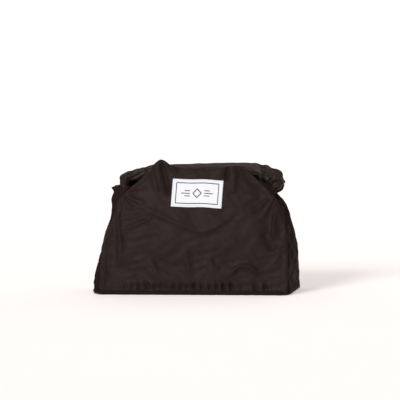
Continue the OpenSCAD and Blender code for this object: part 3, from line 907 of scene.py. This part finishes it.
def label_motif():
    """A plain woven pattern: a border, a diamond and three bars on each side of it."""
    half_w, half_h = LABEL_SIZE[0] / 2 - FRAME_INSET[0], LABEL_SIZE[1] / 2 - FRAME_INSET[1]
    corners = [(-half_w, -half_h), (half_w, -half_h), (half_w, half_h), (-half_w, half_h)]
    diamond = [(0, -5), (5, 0), (0, 5), (-5, 0)]
    lines = []
    for name, outline, width, lift in (("frame", corners, 1.0, 0.12), ("diamond", diamond, 1.1, 0.14)):
        for k in range(4):
            lines.append(label_strip(f"{name}{k}", outline[k], outline[(k + 1) % 4], width, lift))
    for sign in (-1, 1):
        for k in (-1, 0, 1):
            ends = (sign * 8.5, 3 * k), (sign * (19 - 4 * abs(k)), 3 * k)
            lines.append(label_strip(f"bar{sign}{k}", *ends, 0.95, 0.14))
    return join("label_motif", lines)


keep(label_piece(), FRONT, "label_fabric", "label")
keep(label_motif(), FRONT, "thread")


# ---------------- stitching
STITCH_GAP = 0.9
LIFT = np.array([0.0, -1.0, 0.0])  # the way that stitches stand off the front panel


def stitches(name, line, length, radius, material):
    """A row of thread stitches along a line on the front panel."""
    line = np.array(line, float)
    run = lengths_along(line)
    points, faces = [], []
    sides, rings = 6, 6
    arch = np.sin(np.linspace(0, math.pi, rings))
    turn = np.linspace(0, 2 * math.pi, sides, endpoint=False)
    for begin in np.arange(0, run[-1] - length, length + STITCH_GAP):
        s = begin + length * np.linspace(0, 1, rings)
        p = np.stack([np.interp(s, run, line[:, k]) for k in range(3)], 1)
        ahead = (p[-1] - p[0]) / np.linalg.norm(p[-1] - p[0])
        across = np.cross(ahead, LIFT)
        across /= np.linalg.norm(across)
        r = radius * (0.4 + 0.6 * arch)[:, None, None]
        middle = p + np.outer(arch * radius * 0.8, LIFT)
        ring = middle[:, None] + r * (across * np.cos(turn)[:, None] + LIFT * np.sin(turn)[:, None])
        first = len(points) * sides * rings
        points.append(ring.reshape(-1, 3))
        faces += (quads(rings, sides, wrap=True)[:, ::-1] + first).tolist()
        faces.append([first + k for k in range(sides)])
        faces.append([first + (rings - 1) * sides + k for k in range(sides)][::-1])
    return mesh_object(name, np.concatenate(points), faces, material)


def label_thread():
    """Stitches all round the label."""
    edge_w, edge_h = LABEL_SIZE[0] / 2 - 1.4, LABEL_SIZE[1] / 2 - 1.4
    corners = [(-edge_w, -edge_h), (edge_w, -edge_h), (edge_w, edge_h), (-edge_w, edge_h)]
    ring = []
    for k in range(4):
        (ax, ay), (bx, by) = corners[k], corners[(k + 1) % 4]
        t = np.linspace(0, 1, 40)[None, :]
        ring.append(on_label(ax + (bx - ax) * t, ay + (by - ay) * t, 0.1)[0])
    return stitches("label_thread", np.concatenate(ring), 2.2, 0.22, LABEL_STITCH)


def hem_line(side, inset):
    """The line of stitches down one side edge of the front panel, on its settled face."""
    edge = front_shape[:, :1, 0] if side < 0 else front_shape[:, -1:, 0]
    from_edge = np.abs(front_shape[..., 0] - edge)
    columns = np.abs(from_edge - inset).argmin(1)
    rows = np.arange(4, int(ROWS * (1 - CURL_SHARE)) - 4)
    line = front_shape[rows, columns[rows]]
    window = np.ones(7) / 7
    smooth = np.stack([np.convolve(np.pad(line[:, k], 3, "edge"), window, "valid") for k in range(3)], 1)
    return smooth + np.array([0, -0.15, 0])


keep(label_thread(), FRONT, "thread", "label_stitches")
for side, word in ((-1, "left"), (1, "right")):
    seam = stitches(f"front_hem_thread_{word}", hem_line(side, HEM_W - 1.4), 2.4, 0.24, THREAD)
    keep(seam, FRONT, "thread")

# ---------------- drawcords and their casings
# Half of the right cord's route, from its tail through the lock to the middle of its casing.
CASING_X = 87.6
CORD_HALF = ((38, -1.4), (44, -1.4), (57, -1.4), (66, -1.8), (71, -4.4), (75, -9.2), (79, -13.6),
             (83.6, -14.6), (87, -12), (CASING_X, -8), (CASING_X, -4), (CASING_X, 0))
CORD_R = 1.25
CASING_HALF = 9.0


def drawcord(side, word):
    """A cord that runs through its lock and its casing and back, with a slight braid to its surface."""
    half = [(side * x, y, CORD_Z) for x, y in CORD_HALF]
    whole = half + [(x, -y, z) for x, y, z in half[-2::-1]]
    line = along(whole, 10)
    radius = CORD_R * (1 + 0.035 * np.sin(lengths_along(line) * 3.4))
    return sweep(f"{word}_braided_cord", line, radius, CORD, sides=16)


def casing(side, word):
    """A tube of gathered cloth round the cord, open at both ends."""
    rows, sides = 60, 48
    turns = np.linspace(0, 2 * math.pi, sides, endpoint=False)
    y, turn = np.meshgrid(np.linspace(-CASING_HALF, CASING_HALF, rows), turns, indexing="ij")
    gather = 0.28 * np.sin(y * 2.1 + 0.8 * np.sin(2 * turn)) + 0.22 * np.sin(7 * turn + y / 2)
    outer, inner = 3.1 + gather, np.full(y.shape, 1.95)
    rings = []
    for r, order in ((outer, 1), (inner, -1)):
        ring = np.stack([side * CASING_X + r * np.cos(turn), y, CORD_Z + r * np.sin(turn)], -1)
        rings.append(ring[::order])
    points = np.concatenate(rings)
    faces = quads(2 * rows, sides, wrap=True)
    last = np.arange(sides)
    close = np.stack([(2 * rows - 1) * sides + last, (2 * rows - 1) * sides + (last + 1) % sides,
                      (last + 1) % sides, last], 1)
    faces = np.concatenate([faces, close])[:, ::-1]
    return mesh_object(f"{word}_casing_fabric", points.reshape(-1, 3), faces, LINING)


for side, word in ((-1, "left"), (1, "right")):
    keep(drawcord(side, word), BODY, "cord", f"{word}_drawcord")
    keep(casing(side, word), BODY, "lining_fabric", f"{word}_cord_casing")

# ---------------- zipped pocket
POCKET_HALF, POCKET_LOW, POCKET_HIGH = 80, 24, 91.5
POCKET_DEPTH = 5.0  # how far the pocket lies inside the back panel's face
POCKET_CREASES = (
    (((-70, 84), (-40, 72), (0, 68), (40, 74), (70, 86)), 7, 1.1, 0.4),
    (((-74, 30), (-62, 44), (-56, 62)), 4, 0.9, 0.3),
    (((74, 30), (60, 46), (56, 64)), 4, 0.9, -0.3),
)


def pocket_piece():
    """The pocket's cloth, pleated a little at its lower corners and slack under the zip."""
    v, u = np.meshgrid(np.linspace(0, 1, 80), np.linspace(-1, 1, 150), indexing="ij")
    z = POCKET_LOW + (POCKET_HIGH - POCKET_LOW) * v
    x = u * POCKET_HALF
    border = (1 - np.abs(u) ** 8) * smoothstep(0, 0.1, v) * smoothstep(0, 0.06, 1 - v)
    fold = creases(x, z, POCKET_CREASES)
    slack = border * (1.0 + fold + 0.35 * ripples(x, z, 24, 81))
    y = DEPTH / 2 - lean(z) - POCKET_DEPTH - LINING_T - slack
    return fabric("zip_pocket_fabric", np.stack([x, y, z], -1), LINING_T, LINING)


keep(pocket_piece(), BACK, "lining_fabric", "zip_pocket")

# ---------------- the cloth that each piece was cut from
# (name, width, length, area, how it is held, what it lies on), in millimetres. Area 0 is a plain rectangle.
CUTS = [
    ("front_panel_fabric", 228, 172, 31000, "gathered", ["base_piping_fabric"]),
    ("back_panel_fabric", 232, 164, 30500, "gathered", ["base_piping_fabric"]),
    ("front_lining_fabric", 222, 158, 27200, "gathered", ["base_pad_lining"]),
    ("back_lining_fabric", 222, 158, 27200, "gathered", ["base_pad_lining"]),
    ("base_under_fabric", 225, 82, 0, "stretched", ["base_board"]),
    ("base_pad_lining", 225, 82, 0, "laid", ["base_foam"]),
    ("zip_pocket_fabric", 160, 68, 0, "laid", ["back_lining_fabric"]),
    ("woven_label", *LABEL_SIZE, 0, "laid", ["front_panel_fabric"]),
]
for word in ("left", "right"):
    for half in ("front", "rear"):
        CUTS.append((f"{word}_side_fabric_{half}", 50, 132, 4900, "gathered", ["base_piping_fabric"]))
        CUTS.append((f"{word}_lining_fabric_{half}", 48, 126, 4400, "gathered", ["base_pad_lining"]))
made = bpy.data.objects
for name, width, length, area, held, rests_on in CUTS:
    extra = {"area": area * MM * MM} if area else {}
    if name == "woven_label":
        extra["with_pieces"] = [made["label_motif"], made["label_thread"]]

# ---------------- CAD pieces that stay, with better materials
KEPT = {
    BOARD: ("base_board",),
    FOAM: ("base_foam",),
    LOCK: ("left_lock_barrel", "right_lock_barrel", "left_lock_plunger", "right_lock_plunger"),
    STEEL: ("left_lock_spring", "right_lock_spring"),
    TAPE: ("zip_tape_upper", "zip_tape_lower"),
    COIL: ("zip_coil_upper", "zip_coil_lower"),
    GUNMETAL: ("zip_stops", "zip_slider", "zip_pull", "front_snap", "back_snap"),
}
for material, nodes in KEPT.items():
    for node in nodes:
        obj = frame["nodes"][node]
        obj.data.materials.clear()
        obj.data.materials.append(material)


# ---------------- stage, light and camera
PAPER_GLOW = 0.38  # light that the backdrop gives out itself, so that it stays near white


def stage_material():
    """Paper that is nearly white."""
    n = Nodes("backdrop_paper")
    n.link(n.ramp(n.noise(3.0, 2.0), [(0.3, (0.8, 0.8, 0.8)), (0.7, (0.81, 0.81, 0.81))]),
           n.shader.inputs["Base Color"])
    n.set(Roughness=0.9, Specular_IOR_Level=0.0, Emission_Strength=PAPER_GLOW)
    n.material.cycles.emission_sampling = "NONE"
    n.shader.inputs["Emission Color"].default_value = (1.0, 0.94, 0.91, 1)
    return n.material


def backdrop():
    """A floor that curves up into a wall behind the pouch."""
    bend, back_y, high, wide, front_y = 2000, 3400, 5900, 9500, -6000
    arc = np.radians(np.linspace(0, 90, 24))
    profile = [(front_y, 0)] + [(back_y + bend * math.sin(t), bend * (1 - math.cos(t))) for t in arc]
    profile.append((back_y + bend, high))
    grid = np.array([[(x, y, z) for x in np.linspace(-wide, wide, 12)] for y, z in profile])
    floor = mesh_object("backdrop", grid.reshape(-1, 3), quads(len(profile), 12), stage_material())


def sun(azimuth, elevation, strength, spread, colour):
    """A sun whose light comes from an azimuth, as a camera's is given, and an elevation, in degrees."""
    data = bpy.data.lights.new("key", "SUN")
    data.energy = strength
    data.angle = math.radians(spread)
    data.color = colour
    light = bpy.data.objects.new("key", data)
    light.rotation_euler = back_of(azimuth, elevation).to_track_quat("Z", "Y").to_euler()
    bpy.context.scene.collection.objects.link(light)


def back_of(azimuth, elevation):
    """The way back from what a camera sees at an azimuth and an elevation, in degrees."""
    a, e = math.radians(azimuth), math.radians(elevation)
    return Vector((math.sin(a) * math.cos(e), -math.cos(a) * math.cos(e), math.sin(e)))


backdrop()
world = bpy.data.worlds.new("studio")
world.use_nodes = True
world.node_tree.nodes["Background"].inputs["Color"].default_value = (1.0, 0.87, 0.81, 1)
world.node_tree.nodes["Background"].inputs["Strength"].default_value = 0.4
bpy.context.scene.world = world
bpy.context.scene.view_settings.view_transform = "Standard"
sun(-24, 28, 2.15, 20, (0.97, 0.99, 1.01))

CAMERA_AZIMUTH, CAMERA_ELEVATION, CAMERA_ROLL = 10.5, 4.4, 0.85
CAMERA_FROM = 3.5  # metres from AIM
VIEW_WIDTH = 0.474  # metres across the picture, at AIM
AIM = Vector((0.0054, 0, 0.1085))
SENSOR = 36
camera_data = bpy.data.cameras.new("camera")
camera_data.sensor_width = SENSOR
camera_data.lens = SENSOR * CAMERA_FROM / VIEW_WIDTH
camera_data.clip_end = 20
camera = bpy.data.objects.new("camera", camera_data)
toward = back_of(CAMERA_AZIMUTH, CAMERA_ELEVATION)
camera.location = AIM + CAMERA_FROM * toward
level = toward.to_track_quat("Z", "Y")
camera.rotation_euler = (level @ Quaternion((0, 0, 1), math.radians(-CAMERA_ROLL))).to_euler()
bpy.context.scene.collection.objects.link(camera)
bpy.context.scene.camera = camera
